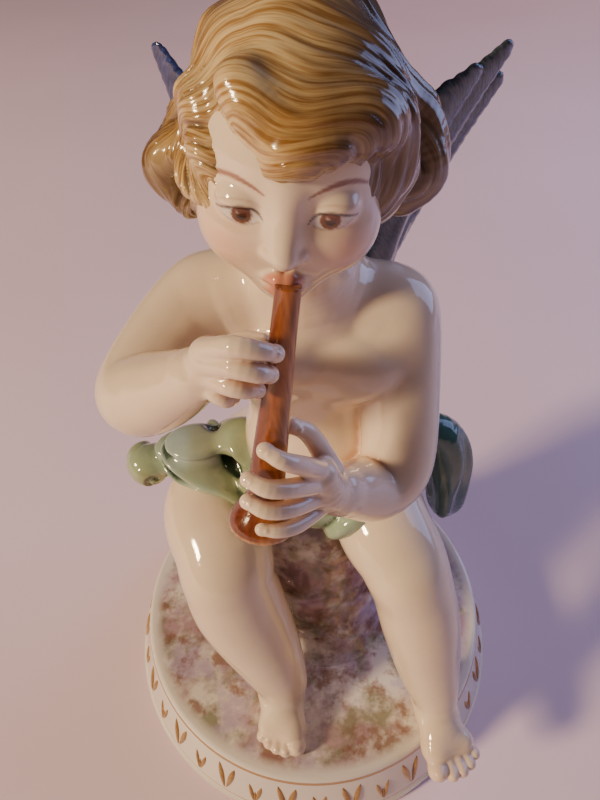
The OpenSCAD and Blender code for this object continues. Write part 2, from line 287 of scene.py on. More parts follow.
RIGHT_PALM = [[-13, -18.3, 94.6, 3.0], [-11.9, -19, 96, 2.7], [-11.3, -19.5, 98.4, 2.2]]
LEFT_PALM = [[3.5, -18, 70.6, 3.3], [1.6, -19.9, 73.8, 3.0], [0.8, -20.4, 77.8, 2.4]]
RIGHT_FINGERS = [
    [[-11.1, -20.1, 99.8, 1.4], [-8, -22.6, 102.3, 1.2], [-5.4, -22.6, 101.7, 1.05], [-4, -21.4, 100.2, 0.9]],
    [[-11.4, -20.5, 98.2, 1.4], [-8.2, -23.2, 100.1, 1.2], [-5.8, -23.4, 99.4, 1.1],
     [-4.7, -22.1, 97.9, 0.9]],
    [[-11.6, -20.5, 96.4, 1.3], [-8.9, -23, 97.3, 1.15], [-7.2, -23.1, 96.7, 1.0], [-6.2, -21.9, 95.4, 0.85]],
    [[-12.1, -19.9, 94.8, 1.2], [-10.6, -21.8, 94.8, 1.05], [-9.6, -21.9, 94.1, 0.95],
     [-9.2, -20.8, 93.1, 0.8]],
    [[-12, -18, 95.6, 1.5], [-9.4, -16.4, 96.9, 1.3], [-7.4, -16.0, 97.5, 1.15], [-5.6, -16.6, 97.6, 0.95]]
]
LEFT_FINGERS = [
    [[0.6, -20.8, 79.2, 1.5], [-1.6, -23.6, 84, 1.25], [-3.9, -24.9, 86.8, 1.1], [-5.8, -24, 87.6, 0.9]],
    [[0.4, -21.4, 77.2, 1.5], [-3, -25, 81.4, 1.3], [-5.8, -26.2, 83.2, 1.15], [-8, -25.1, 83.6, 0.9]],
    [[0.4, -21.6, 74.4, 1.4], [-3.2, -25.4, 77.6, 1.25], [-6.2, -26.6, 79.2, 1.1], [-8.4, -25.5, 79.6, 0.9]],
    [[0.8, -21.4, 71.8, 1.3], [-2.4, -25.3, 73.6, 1.15], [-4.9, -26.8, 74.8, 1.0], [-6.9, -26.7, 75.2, 0.85]],
    [[2.4, -18.2, 76, 1.7], [0.6, -17.3, 80, 1.45], [-0.9, -17.2, 82.8, 1.3], [-2.8, -17.8, 84.8, 1.05]]
]
RIGHT_FOOT = [
    [[-7.5, -21.6, 4.4, 4.4], [-7.4, -24, 4.8, 4.4], [-6.6, -27, 3.7, 3.9], [-5.4, -30.4, 2.5, 2.7]],
    [[-7.8, -21.6, 4, 4.2], [-8.2, -26.6, 3.2, 3.5], [-9.8, -29.6, 2.1, 2.3]]
]
LEFT_FOOT = [
    [[24.7, -25, 4.2, 4.3], [24.8, -28, 4.6, 4.3], [24.8, -31.4, 3.5, 3.8], [24.2, -35, 2.5, 2.7]],
    [[25, -25, 4, 4.1], [26.6, -30.6, 3, 3.4], [29.4, -33.6, 2.1, 2.3]]
]
RIGHT_TOES = [
    [[-4.9, -30.8, 2, 2.1], [-4.5, -33.5, 1.7, 1.85]], [[-6.9, -31, 1.8, 1.6], [-6.7, -34.1, 1.3, 1.35]],
    [[-8.4, -30.8, 1.7, 1.5], [-8.5, -33.6, 1.2, 1.25]], [[-9.7, -30.2, 1.6, 1.4], [-10.1, -32.7, 1.1, 1.15]],
    [[-10.7, -29.4, 1.5, 1.3], [-11.6, -31.4, 1.1, 1.05]]
]
LEFT_TOES = [
    [[24, -35.4, 2, 2.1], [24, -38.8, 1.6, 1.85]], [[26.1, -36, 1.8, 1.6], [26.8, -39.3, 1.3, 1.35]],
    [[27.8, -35.7, 1.7, 1.5], [28.9, -38.7, 1.2, 1.25]], [[29.3, -34.9, 1.6, 1.4], [30.7, -37.5, 1.1, 1.15]],
    [[30.2, -33.6, 1.5, 1.3], [32, -35.8, 1.1, 1.05]]
]
PIPE_LIPS = np.array([-2.4, -16.7, 105.3])
PIPE_BELL = np.array([-7.1, -24, 72.4])

HEAD = np.array([-1.2, -2.6, 116.1])
HEAD_TURN = Matrix.Rotation(math.radians(-5), 3, "Z") @ Matrix.Rotation(math.radians(10), 3, "X")
HEAD_TURN = np.array(HEAD_TURN @ Matrix.Rotation(math.radians(4), 3, "Y"))


def in_head(p):
    """The same points in the head's own frame: +X to its left, -Y forwards, +Z up."""
    off = [p[i] - HEAD[i] for i in range(3)]
    return [sum(HEAD_TURN[k][i] * off[k] for k in range(3)) for i in range(3)]


def mirrored(q):
    """Points folded on to the +X side of the head."""
    return [np.abs(q[0]), q[1], q[2]]


def torso_form(p):
    d = egg(p, (1.2, 3.8, 77.5), (13.4, 10.2, 14.5))
    d = blend(d, egg(p, (1, 2.4, 60.5), (12.4, 11.2, 13)), 4)
    d = blend(d, egg(p, (0, 7.6, 47.5), (16.5, 13, 12.5)), 5)
    for x in (-7.8, 8.4):
        d = blend(d, ball(p, x, 13.6, 43.5, 9.5), 3)
    girdle = tube(p, [[-13.5, 4, 87.5, 5.8], [-7.6, 4.4, 90.3, 5.4], [-0.7, 3.6, 92.4, 6.4],
                      [6.6, 4, 88.6, 5.4], [11.8, 3.5, 85, 5.8]])
    d = blend(d, girdle, 4)
    for x, z in ((-5.2, 82.6), (7.2, 80.8)):
        d = blend(d, egg(p, (x, -4.4, z), (6.4, 3.6, 5)), 3)
    for x, z in ((-7, 83), (9, 81.5)):
        d = blend(d, egg(p, (x, 13, z), (4.6, 2.6, 6.4)), 3)
    d = carve(d, tube(p, [[1, 17, 92, 1.4], [1.2, 15.6, 74, 1.8], [0.6, 17.4, 58, 1.6]], 4), 4)
    d = carve(d, ball(p, 0.6, -9.2, 58.5, 1.0), 1.4)
    return d


EYE = (4.4, -11.1, -1.5)
NOSE = [[0, -12, 1.2, 1.0], [0, -13.2, -1.8, 1.0], [0, -14.8, -4.5, 1.25], [0, -15.1, -5.2, 1.35]]
NECK = [[-0.6, 3.2, 91, 7.6], [-0.9, 1.2, 96, 6.6], [-1.2, -0.6, 101.5, 6.5], [-1.3, -1.6, 108, 7]]


def skull_form(p):
    q = in_head(p)
    m = mirrored(q)
    d = egg(q, (0, 1.2, 0.6), (10.0, 11.2, 11.0))
    d = blend(d, egg(q, (0, -4.8, -4.0), (9.2, 9.3, 8.6)), 3)
    d = blend(d, egg(q, (0, -6.8, -8.2), (7.2, 7.0, 5.4)), 3)
    d = blend(d, ball(q, 0, -11.4, -11.3, 2.6), 3.4)
    d = blend(d, egg(m, (5.0, -8.4, -6.0), (4.2, 4.6, 4.0)), 3.2)
    d = blend(d, egg(q, (0, -4.2, 1.4), (8.9, 8.4, 7.6)), 3)
    d = carve(d, egg(m, (4.4, -15.4, -1.0), (3.0, 2.2, 1.6)), 2.2)
    d = blend(d, egg(m, EYE, (2.4, 2.1, 1.9)), 0.7)
    upper = np.maximum(egg(m, EYE, (2.52, 2.22, 2.02)), 0.35 - (q[2] + 1.25) - 0.14 * (q[1] + 13.6))
    d = blend(d, upper, 0.35)
    lower = np.maximum(egg(m, EYE, (2.50, 2.20, 2.00)), (q[2] + 2.55) - 0.1 * (m[0] - 4.4))
    d = blend(d, lower, 0.4)
    d = blend(d, tube(q, NOSE), 1.8)
    d = blend(d, egg(m, (1.3, -14.0, -5.5), (0.95, 1.2, 0.85)), 0.7)
    d = carve(d, egg(m, (0.7, -14.8, -6.55), (0.4, 0.6, 0.4)), 0.45)
    d = carve(d, tube(q, [[0, -14.6, -6.8, 0.25], [0, -14.6, -7.9, 0.3]], 1), 1.0)
    return d


UPPER_LIP = [[2.5, -13.1, -9.1, 0.35], [1.5, -14.3, -8.7, 0.65],
             [0.6, -15, -8.35, 0.85], [0, -15.1, -8.5, 0.8]]
LOWER_LIP = [[2.4, -13.1, -9.3, 0.35], [1.3, -14.1, -10, 0.8], [0, -14.7, -10.4, 1.0]]


def lips_form(p):
    m = mirrored(in_head(p))
    return np.minimum(tube(m, UPPER_LIP), tube(m, LOWER_LIP))


def head_form(p):
    d = blend(skull_form(p), lips_form(p), 0.7)
    return blend(d, tube(p, NECK, 4), 3)


def arm_form(joints):
    return lambda p: tube(p, joints, 10)


def finger_nail(finger):
    """The nail's centre and radius, on the back of the fingertip."""
    last, tip = np.array(finger[-2]), np.array(finger[-1])
    back = last[:3] - tip[:3]
    away = np.array([0, -0.75, 0.66])
    away = away - back * away.dot(back) / back.dot(back)
    return tip[:3] + 0.25 * back + away / np.linalg.norm(away) * tip[3] * 0.72, 0.62 * tip[3]


def hand_form(palm, fingers):
    def form(p):
        d = tube(p, palm, 4)
        for finger in fingers:
            tip = finger[-1]
            shape = blend(tube(p, finger, 4), ball(p, tip[0], tip[1], tip[2], tip[3] * 1.06), 0.4)
            centre, r = finger_nail(finger)
            shape = blend(shape, ball(p, *centre, r), 0.08)
            d = blend(d, shape, 0.45)
        return d
    return form


def leg_form(joints, knee):
    return lambda p: blend(tube(p, joints, 10), ball(p, *knee, 4.8), 4)


def toe_nail(toe):
    """The nail's centre and radii, on top of the toe's tip."""
    x, y, z, r = toe[1]
    return (x, y - 0.35 * r, z + 0.86 * r), (0.58 * r, 0.62 * r, 0.3 * r)


def foot_form(sides, toes):
    """A foot on two spines, which run from the heel to the big toe and to the little toe."""
    def form(p):
        inner, outer = sides
        d = blend(tube(p, inner, 4), tube(p, outer, 4), 2.2)
        d = blend(d, cone(p, inner[-1], outer[-1]), 1.6)
        for toe in toes:
            shape = blend(tube(p, toe, 1), ball(p, *toe[1][:3], toe[1][3] * 1.08), 0.5)
            shape = blend(shape, egg(p, *toe_nail(toe)), 0.06)
            d = blend(d, shape, 0.45)
        return np.maximum(d, -p[2])
    return form


SKIN = {
    "torso": torso_form,
    "head": head_form,
    "right_arm": arm_form(RIGHT_ARM),
    "left_arm": arm_form(LEFT_ARM),
    "right_leg": leg_form(RIGHT_LEG, (-17.2, -13.6, 38.0)),
    "left_leg": leg_form(LEFT_LEG, (17.2, -15, 37.6)),
    "right_hand": hand_form(RIGHT_PALM, RIGHT_FINGERS),
    "left_hand": hand_form(LEFT_PALM, LEFT_FINGERS),
    "right_foot": foot_form(RIGHT_FOOT, RIGHT_TOES),
    "left_foot": foot_form(LEFT_FOOT, LEFT_TOES),
}


def shoulder_fillet(x, y, z, wide, narrow):
    """A wide fillet at the joint that narrows to a crease away from it."""
    return lambda p: narrow + (wide - narrow) * smooth(13, 5, ball(p, x, y, z, 0))


FILLET = {
    "head": lambda p: 3.0,
    "right_arm": shoulder_fillet(-12, 4, 88, 4.5, 0.9),
    "left_arm": shoulder_fillet(11, 3.5, 85, 4.5, 0.4),
    "right_leg": shoulder_fillet(-12, 10, 44, 4, 0.9),
    "left_leg": shoulder_fillet(11, 9, 44, 4, 0.9),
    "right_hand": lambda p: 1.0,
    "left_hand": lambda p: 1.0,
    "right_foot": lambda p: 1.6,
    "left_foot": lambda p: 1.6,
}
LUTED = {("torso", "head")}
for side in ("right", "left"):
    LUTED |= {("torso", f"{side}_arm"), ("torso", f"{side}_leg")}
    LUTED |= {(f"{side}_arm", f"{side}_hand"), (f"{side}_leg", f"{side}_foot")}
LUTING = 0.14


def casting(name):
    """One piece of the fused skin. Past its seam it sinks under the neighbour that it is luted to."""
    near = [n for n in SKIN if n == name or (n, name) in LUTED or (name, n) in LUTED]

    def field(p):
        parts = {n: SKIN[n](p) for n in near}
        fused = None
        for n, d in parts.items():
            fused = d if fused is None else blend(fused, d, FILLET[n](p))
        others = [d for n, d in parts.items() if n != name]
        past = parts[name] - np.minimum.reduce(others)
        return fused + LUTING * np.maximum(past, 0) ** 2
    return field


# ---- hair

PARTING_X = -4.8


def strand_flow(q):
    """Where a point lies across the strands and along them: combed sideways from the parting, then down."""
    side = np.abs(q[0] - PARTING_X) + 0.4
    over = np.arctan2(-q[1], np.maximum(q[2] + 3, 0.5))
    down = np.arctan2(-q[1], side)
    low = np.arctan2(side, q[2] + 3)
    turn = smooth(0.45, 1.5, low)
    across = over * (1 - turn) + down * turn
    return across + 0.055 * np.sin(low * 5.2 + 2.2 * across) + 0.05 * noise(q, 6, 3), low


def hair_relief(q):
    """Height of the combed locks above the hair's mass."""
    across, low = strand_flow(q)
    away = smooth(0.05, 0.5, low)
    waves = 0.45 * np.sin(low * 7.5 + 2.6 * across + 1.4 * np.sin(across * 3))
    locks = 0.5 * np.abs(np.sin(6.5 * across + 0.8 * np.sin(low * 3)))
    strands = 0.17 * np.abs(np.sin(21 * across + 1.1 * np.sin(low * 4.1)))
    fine = 0.055 * np.sin(74 * across + 2 * np.sin(low * 6))
    return away * (waves + locks + strands + fine)


def hair_cap_form(q):
    d = egg(q, (0, 0.6, 0.6), (11.0, 12.6, 12.3))
    d = blend(d, egg(q, (-8.1, -1.8, -2.6), (3.4, 8.2, 7.0)), 2.4)
    d = blend(d, egg(q, (8.3, -0.4, -3.2), (3.6, 7.6, 7.2)), 2.4)
    d = blend(d, egg(q, (0, 7, -4), (10, 7.2, 7)), 3)
    parting = tube(q, [[-5.8, -13.2, -1.5, 3.0], [-5.4, -12.8, 1.8, 1.4], [-5.1, -12.4, 5.0, 0.4]], 1)
    face = blend(egg(q, (0.3, -15, -8.3), (9.3, 9.2, 9.8)), parting, 0.8)
    d = carve(d, face, 0.5)
    fringe = tube(q, [[-4.4, -8.4, 8.0, 2.4], [-3.0, -9.6, 6.8, 2.7], [0.2, -10.4, 4.9, 3.0],
                      [4.0, -9.8, 5.0, 2.9], [7.2, -7.8, 5.4, 2.9], [9.0, -5.2, 3.6, 3.0],
                      [9.4, -3.4, -0.8, 3.1]])
    return blend(d, fringe, 1.4)


HAIR = {
    "hair_cap": hair_cap_form,
    "right_side_curl": lambda q: tube(q, [[-9.8, 0.2, -1.4, 2.0], [-12.2, 0, -3.8, 2.9],
                                          [-13.2, -0.6, -6.6, 3.2], [-12.0, -1.4, -8.6, 2.4]]),
    "left_side_curl": lambda q: tube(q, [[10.2, 1.6, 1.6, 2.2], [12.8, 2.0, -1.6, 3.2],
                                         [13.7, 1.8, -5.2, 3.5], [12.2, 1.0, -8.2, 2.7]]),
    "nape_curl": lambda q: tube(q, [[-11, 4.6, -7.4, 4], [-7, 9, -8.6, 4.4], [0, 11.2, -9, 4.6],
                                    [7, 9.6, -8.8, 4.4], [11.4, 5.6, -7.6, 4.2]]),
}
HAIR_FILLET = 1.4


def hair_casting(name):
    def field(p):
        q = in_head(p)
        parts = {n: form(q) for n, form in HAIR.items()}
        fused = None
        for d in parts.values():
            fused = d if fused is None else blend(fused, d, HAIR_FILLET)
        past = parts[name] - np.minimum.reduce([d for n, d in parts.items() if n != name])
        return fused - hair_relief(q) + LUTING * np.maximum(past, 0) ** 2
    return field


# ---- wings

RIGHT_FEATHERS = [
    [[-6.5, 16.5, 83, 2.4], [-13.5, 22, 102, 2.8], [-19.4, 24.6, 114.8, 1.5]],
    [[-7, 17.6, 81, 2.4], [-13.6, 24.6, 98, 2.9], [-19, 28, 110.5, 1.6]],
    [[-7, 18.2, 79, 2.4], [-13, 26.4, 93, 2.9], [-17.4, 30.2, 103.6, 1.7]],
    [[-6.6, 18.4, 77, 2.4], [-11.6, 27, 87.5, 2.8], [-15, 31, 95.8, 1.7]],
    [[-6, 18.2, 75.5, 2.4], [-9.8, 25.6, 81.5, 2.6], [-12.4, 29.6, 87, 1.7]]
]
LEFT_FEATHERS = [
    [[9, 14.5, 85, 2.4], [16.4, 17, 105, 2.8], [22.6, 18.6, 112.8, 1.7]],
    [[9.5, 15.2, 83, 2.4], [18.4, 19, 104, 3.0], [27.0, 21, 114.8, 1.6]],
    [[10, 16, 81, 2.4], [19.2, 21, 100.5, 3.0], [27.2, 23, 110.2, 1.7]],
    [[10, 16.8, 78.5, 2.4], [17.6, 22.6, 95.5, 2.9], [24.4, 25.3, 104, 1.8]],
    [[9.4, 17.2, 76.5, 2.4], [15.4, 23, 90, 2.8], [21.4, 26.6, 98.4, 1.8]]
]
RIGHT_WING_ROOT = [[-5, 12.5, 78.5, 3.4], [-6.2, 16, 80.5, 2.8], [-8.4, 19, 88, 1.8], [-11.5, 21, 96, 1.0]]
LEFT_WING_ROOT = [[8, 12, 77.5, 3.4], [9.4, 15, 80, 2.8], [12.6, 16.4, 89, 1.8], [16, 17.6, 97, 1.0]]
RIGHT_BLADE = (-0.50, -0.84, -0.20)
LEFT_BLADE = (0.50, -0.85, -0.15)
FLATNESS = 3.6
FULLNESS = 1.6
COVERTS = ((0.72, 0.5), (0.42, 0.95))


def stretched(p, centre, normal):
    """Space stretched across the blade, in which a round tube is a flat feather."""
    off = sum((p[i] - centre[i]) * normal[i] for i in range(3)) * (FLATNESS - 1)
    return [p[i] + off * normal[i] for i in range(3)]


def stretched_joint(joint, centre, normal):
    return [*stretched(joint[:3], centre, normal), joint[3]]


def feather_flow(p, path):
    """Distance along a feather from its quill."""
    first, last = path[0][:3], path[-1][:3]
    axis = (last - first) / np.linalg.norm(last - first)
    return sum((p[i] - first[i]) * axis[i] for i in range(3))


def coverts(feathers, normal):
    """Short feathers over the quills, in rows on both faces of the blade."""
    made = []
    for feather in feathers:
        f = np.array(feather)
        for reach, lift in COVERTS:
            end = f[0] + (f[1] - f[0]) * reach
            for side in (-1, 1):
                shift = np.append(normal * side * lift, 0)
                mid = (f[0] + end) / 2 + shift + [0, 0, 0, 0.1]
                made.append([f[0] + shift, mid, end + shift * 0.6 - [0, 0, 0, 0.9]])
    return made


def wing_form(feathers, root, blade):
    """A fan of flat feathers that overlap, each facing along blade, under two rows of coverts."""
    normal = np.array(blade) / np.linalg.norm(blade)
    centre = np.array(feathers[2][1][:3])
    small = coverts(feathers, normal)

    def form(p):
        q = stretched(p, centre, normal)
        near = None
        for feather in feathers:
            path = [stretched_joint(j, centre, normal) for j in feather]
            path[1][3] += FULLNESS
            d = tube(q, path, 4)
            along = feather_flow(p, np.array(feather))
            d = d + 0.14 * (1 - np.abs(np.sin(along * 2.1 + 0.9 * np.abs(d))))
            near = d if near is None else blend(near, d, 0.25)
        for covert in small:
            d = tube(q, [stretched_joint(j, centre, normal) for j in covert], 1)
            near = blend(near, d, 0.3)
        near = near / 1.7
        return blend(near, tube(p, root, 4), 1.5)
    return form


# ---- drapery

LAP_PATH = [
    [-23.5, 9.5, 49, 6.4], [-20.5, 4.4, 51.5, 6.8], [-13.6, 1.6, 52, 6.8], [-6, -3.4, 48, 6.2],
    [1, -5.4, 45.4, 5.6], [8, -4.6, 47, 5.0], [16, 0, 49, 5.2], [21.5, 7, 48.4, 5.8]
]
ROLL_CENTRE = np.array([-31.2, 4.2, 47.9])
TAIL_PATH = [
    [21.5, 8.5, 53, 3.4], [26, 8.4, 50.4, 3.9], [28.6, 8.6, 43, 4.3],
    [29.6, 8.8, 35, 4.2], [30.2, 8.6, 27.5, 3.6], [30.2, 8.4, 24, 2.2]
]
DEEP_FOLD = [[-19, 8, 58, 1.0], [-16.4, 4.8, 55.6, 1.6], [-14.8, 2.0, 53.6, 1.4], [-13, -0.8, 51.4, 0.6]]
CLOTH_PUFFS = (((-21, 3.6, 53.2), (6.5, 5.2, 4.6)), ((-12.4, 4.6, 55.4), (3.6, 3.6, 4.4)))


def lap_form(p):
    """Cloth that lies on the lap, with folds that fan out from each hip."""
    body = np.minimum(np.minimum(torso_form(p), SKIN["right_leg"](p)), SKIN["left_leg"](p))
    fan_r = np.arctan2(p[2] - 56, p[0] + 31)
    fan_l = np.arctan2(p[2] - 55, 31 - p[0])
    right = smooth(4, -6, p[0])
    folds = right * np.sin(13 * fan_r + 0.12 * p[1]) + (1 - right) * np.sin(12 * fan_l + 0.15 * p[1] + 1)
    sharp = np.sign(folds) * np.abs(folds) ** 0.7
    band = tube(p, LAP_PATH)
    hem = 0.35 * np.sin(p[0] * 0.45 + 0.6)
    thick = 1.6 + 0.95 * sharp
    sheet = -blend(-(body - thick), -(band + hem), 1.0)
    for centre, radii in CLOTH_PUFFS:
        sheet = blend(sheet, egg(p, centre, radii) - 0.6 * sharp, 3.0)
    sheet = carve(sheet, tube(p, DEEP_FOLD, 4), 0.9)
    return carve(sheet, body + 1.2, 0.4)


def roll_form(p):
    """The band's rolled end, with the turns of the roll on its outer face."""
    off = [p[i] - ROLL_CENTRE[i] for i in range(3)]
    tilt = math.radians(28)
    u = off[0] * math.cos(tilt) + off[1] * math.sin(tilt)
    v = -off[0] * math.sin(tilt) + off[1] * math.cos(tilt)
    r = np.sqrt(u ** 2 + off[2] ** 2)
    angle = np.arctan2(off[2], u)
    d = egg([u, v, off[2]], (0, 1.5, 0), (4.0, 5.0, 3.9))
    groove = np.cos(r * 2.2 - angle)
    d = d + 0.5 * smooth(0.0, 0.9, groove) * smooth(4.2, 2.5, r)
    link = tube(p, [[-29.6, 5, 49, 3.0], [-25.5, 6.4, 50, 4.0], [-21, 8, 49, 4.6]], 4)
    link = link - 0.3 * np.sin(p[2] * 1.9 + p[0] * 0.4)
    return blend(d, link, 1.0)


def tail_form(p):
    d = tube(p, TAIL_PATH)
    pleat = 0.55 * np.sin(p[1] * 1.35 + 0.4 * np.sin(p[2] * 0.22) + p[0] * 0.5)
    return d - pleat * smooth(55, 46, p[2])


# ---- pipe and rock

PIPE_LENGTH = float(np.linalg.norm(PIPE_BELL - PIPE_LIPS))
PIPE_AXIS = (PIPE_BELL - PIPE_LIPS) / PIPE_LENGTH
PIPE_FRONT = np.cross(PIPE_AXIS, [1.0, 0, 0])
PIPE_FRONT = PIPE_FRONT / np.linalg.norm(PIPE_FRONT)
PIPE_SIDE = np.cross(PIPE_AXIS, PIPE_FRONT)


def in_pipe(p):
    """Across, forwards and down the pipe."""
    off = [p[i] - PIPE_LIPS[i] for i in range(3)]
    return [sum(off[i] * axis[i] for i in range(3)) for axis in (PIPE_SIDE, PIPE_FRONT, PIPE_AXIS)]


def pipe_form(p):
    side, front, down = in_pipe(p)
    r = np.sqrt((side / 1.06) ** 2 + front ** 2)
    body_r = 1.35 + 0.95 * smooth(0, PIPE_LENGTH, down)
    bell = 1.9 * smooth(PIPE_LENGTH - 6.5, PIPE_LENGTH - 0.5, down) ** 1.4
    d = np.maximum(r - body_r - bell, np.abs(down - PIPE_LENGTH / 2) - PIPE_LENGTH / 2)
    mouth = egg([side, front, down], (0, 0, PIPE_LENGTH + 1.2), (3.3, 3.3, 4.6))
    return carve(d, mouth, 0.35)


def rock_form(p):
    d = cone(p, [1, 3.4, 0, 18], [0, 8, 26, 15])
    d = blend(d, egg(p, (0, 8, 28), (15, 14, 9)), 4)
    crag = 1.0 * noise(p, 9, 5) + 0.5 * np.abs(noise(p, 4.5, 6)) + 0.2 * noise(p, 1.8, 7)
    d = blend(d - crag + 0.6, p[2] + 0.35, 6)
    return np.maximum(np.maximum(d, -p[2] - 0.2), p[2] - 36.5)


# ---- painted decoration, with painted light and shade

IVORY = np.array([0.82, 0.69, 0.53])
CREASE = np.array([0.66, 0.40, 0.26])
BLUSH = np.array([0.80, 0.36, 0.22])
BROWN = np.array([0.16, 0.045, 0.022])
DARK = np.array([0.035, 0.018, 0.014])
AMBER = np.array([0.15, 0.065, 0.02])
EYE_WHITE = np.array([0.74, 0.68, 0.62])
LIP = np.array([0.58, 0.13, 0.06])


def tint(colours, colour, mask):
    """Colours moved towards one colour where the mask is 1."""
    return colours + (colour - colours) * np.clip(mask, 0, 1)[:, None]


def flesh_paint(p, hollow):
    colours = np.tile(IVORY, (p.shape[1], 1))
    # Warmer and darker in the hollows and creases: glaze pooled there, and painted shade.
    colours = tint(colours, CREASE, 0.55 * smooth(0.15, 0.9, hollow))
    return tint(colours, BLUSH, 0.05 * (1 + noise(p, 14, 2)))


def spot(p, x, y, z, r):
    """A soft round patch."""
    return np.exp(-((p[0] - x) ** 2 + (p[1] - y) ** 2 + (p[2] - z) ** 2) / r ** 2)


def stroke(x, z, points, width):
    """A tapering brush stroke through [x, z] points, as a 0..1 mask."""
    flat = np.array([x, np.zeros_like(x), z])
    joints = [[a, 0, b, width * w] for (a, b), w in zip(points, np.sin(np.linspace(0.35, 2.7, len(points))))]
    return smooth(0.10, -0.10, tube(flat, joints, 6))


def eye_paint(colours, q, front):
    """The whites, irises, pupils and glints of both eyes."""
    x, z = np.abs(q[0]), q[2]
    eye = ((x - 4.4) / 2.05) ** 2 + ((z + 1.95) / 0.95) ** 2
    colours = tint(colours, EYE_WHITE, smooth(1.15, 0.85, eye) * front)
    iris = np.sqrt((x - 4.3) ** 2 + (z + 1.9) ** 2)
    open_eye = smooth(1.1, 0.9, eye) * front
    colours = tint(colours, AMBER, smooth(1.05, 0.9, iris) * open_eye)
    colours = tint(colours, BROWN, smooth(1.1, 0.95, iris) * smooth(0.72, 0.9, iris) * open_eye)
    colours = tint(colours, DARK, smooth(0.62, 0.5, iris) * open_eye)
    glint = np.sqrt((q[0] + 4.7) ** 2 + (z + 1.6) ** 2) * np.sqrt((q[0] - 4.0) ** 2 + (z + 1.6) ** 2)
    colours = tint(colours, EYE_WHITE, smooth(1.9, 1.2, glint) * open_eye)
    return tint(colours, BROWN, smooth(-2.2, -1.4, z) * smooth(1.05, 0.9, iris) * open_eye * 0.8)


BRUSHWORK = (
    # points from the nose outwards, half width, colour, share
    ([(2.2, -2.15), (3.1, -1.3), (4.4, -0.98), (5.7, -1.3), (6.9, -2.0)], 0.2, DARK, 0.9),
    ([(2.5, -2.4), (3.5, -2.85), (4.6, -2.95), (5.7, -2.6), (6.4, -2.1)], 0.08, BROWN, 0.55),
    ([(2.4, -1.0), (3.4, -0.45), (4.6, -0.25), (6, -0.55), (7, -1.2)], 0.06, CREASE * 0.8, 0.55),
    ([(2.1, 0.5), (3.4, 1.1), (4.9, 1.4), (6.4, 1.1), (7.6, 0.3)], 0.27, BROWN * 1.5, 0.85),
)


def head_paint(p, hollow):
    """A calm, generic child's face."""
    colours = flesh_paint(p, hollow * 0.8)
    q = in_head(p)
    x, z = np.abs(q[0]), q[2]
    front = smooth(-7, -9, q[1])
    colours = tint(colours, BLUSH, 0.5 * np.exp(-((x - 6.4) ** 2 + (z + 5.6) ** 2) / 9) * front)
    colours = tint(colours, BLUSH, 0.16 * np.exp(-(x ** 2 + (z + 11.6) ** 2) / 4) * front)
    colours = eye_paint(colours, q, front)
    for points, width, colour, share in BRUSHWORK:
        colours = tint(colours, colour, share * stroke(x, z, points, width) * front)
    nostril = np.exp(-((x - 0.85) ** 2 + (z + 6.6) ** 2) / 0.16) * front
    colours = tint(colours, CREASE * 0.6, 0.8 * nostril)
    return tint(colours, LIP, 0.85 * smooth(0.18, -0.05, lips_form(p)) * front)


def foot_paint(p, hollow):
    return tint(flesh_paint(p, hollow * 0.7), BLUSH, 0.10 * smooth(-29, -34, p[1]))


HAIR_CREAM = np.array([0.68, 0.52, 0.27])
OCHRE = np.array([0.42, 0.25, 0.07])
UMBER = np.array([0.13, 0.078, 0.040])


def hair_paint(p, hollow):
    colours = tint(np.tile(HAIR_CREAM, (p.shape[1], 1)), OCHRE, 0.75 * smooth(-0.35, 0.5, noise(p, 5.5, 12)))
    colours = tint(colours, UMBER, 0.75 * smooth(0.0, 0.6, noise(p, 8, 13)))
    # Darker towards +X, the figure's left: painted shade on the side away from the key light.
    colours = tint(colours, UMBER, 0.82 * smooth(-5, 7, p[0]))
    # Painted shade in the hollows between the locks.
    return tint(colours, UMBER, 0.8 * smooth(0.04, 0.5, hollow))


SLATE = np.array([0.040, 0.062, 0.085])
STEEL = np.array([0.14, 0.18, 0.21])
COBALT = np.array([0.03, 0.05, 0.22])


def wing_paint(tip_colour, tip_share):
    def paint(p, hollow):
        colours = np.tile(SLATE, (p.shape[1], 1))
        # Steel-grey mottling, with painted light on the raised parts away from the hollows.
        colours = tint(colours, STEEL, 0.45 * smooth(-0.2, 0.8, noise(p, 3, 4)) + 0.12 * (1 - hollow))
        colours = tint(colours, tip_colour, tip_share * smooth(104, 111, p[2]))
        # Painted shade in the hollows.
        return tint(colours, SLATE * 0.5, 0.7 * smooth(0.1, 0.6, hollow))
    return paint


SEA_GREEN = np.array([0.34, 0.46, 0.33])
OLIVE = np.array([0.30, 0.30, 0.10])
DRAPE_PAINTED_SHADE = np.array([0.05, 0.085, 0.055])
TEAL = np.array([0.05, 0.15, 0.13])
DRAPE_PAINTED_HIGHLIGHT = np.array([0.40, 0.50, 0.54])


def drape_paint(p, hollow):
    colours = np.tile(SEA_GREEN, (p.shape[1], 1))
    # A painted blue-grey highlight on top of the large puff.
    colours = tint(colours, DRAPE_PAINTED_HIGHLIGHT, 0.85 * spot(p, -22, 4, 56, 6.5))
    colours = tint(colours, OLIVE, 0.55 * smooth(-0.1, 0.7, noise(p, 6, 8)))
    # Painted shade along the deep fold.
    colours = tint(colours, DRAPE_PAINTED_SHADE, 0.9 * smooth(1.3, 0.0, tube(p, DEEP_FOLD, 4)))
    colours = tint(colours, OLIVE, 0.7 * spot(p, ROLL_CENTRE[0], ROLL_CENTRE[1], ROLL_CENTRE[2], 4))
    colours = tint(colours, TEAL, smooth(14, 21, p[0]))
    # Painted shade in the hollows.
    return tint(colours, DRAPE_PAINTED_SHADE, 0.95 * smooth(0.12, 0.7, hollow))


